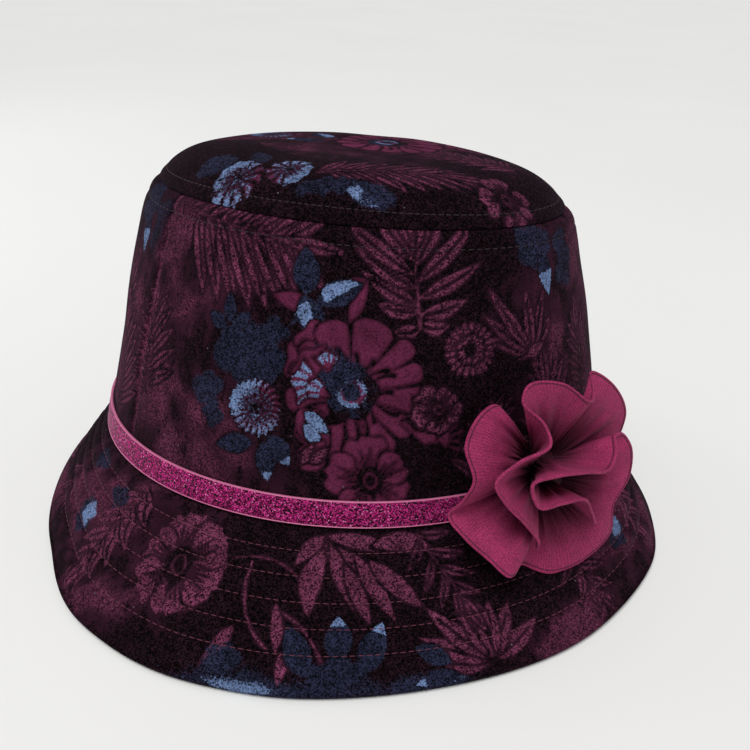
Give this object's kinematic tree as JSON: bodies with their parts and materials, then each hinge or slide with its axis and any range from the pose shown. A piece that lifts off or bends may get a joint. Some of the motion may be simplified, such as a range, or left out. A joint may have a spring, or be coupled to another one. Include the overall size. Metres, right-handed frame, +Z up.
{
  "type": "burial hat",
  "caption": "Velvet bucket hat with a stitched, down-turned brim, a glitter ribbon round the crown and a gathered ribbon rosette.",
  "frame": {"origin": "middle of the hat's outline seen from above, on the surface that the brim's edge stands on", "axes": "+Z up, +X to the hat's front, +Y to the wearer's left, so the rosette is at the wearer's right front"},
  "size_m": [0.2636, 0.2504, 0.1528],
  "materials": {
    "velvet": "dark printed velvet with a soft pile",
    "glitter_ribbon": "glitter with satin edges",
    "crepe_ribbon": "matt crepe"
  },
  "bodies": {
    "root": {"crown_tip": "velvet", "crown_side": "velvet", "brim": "velvet", "ribbon_band": "glitter_ribbon", "rosette": "crepe_ribbon"}
  },
  "joints": []
}
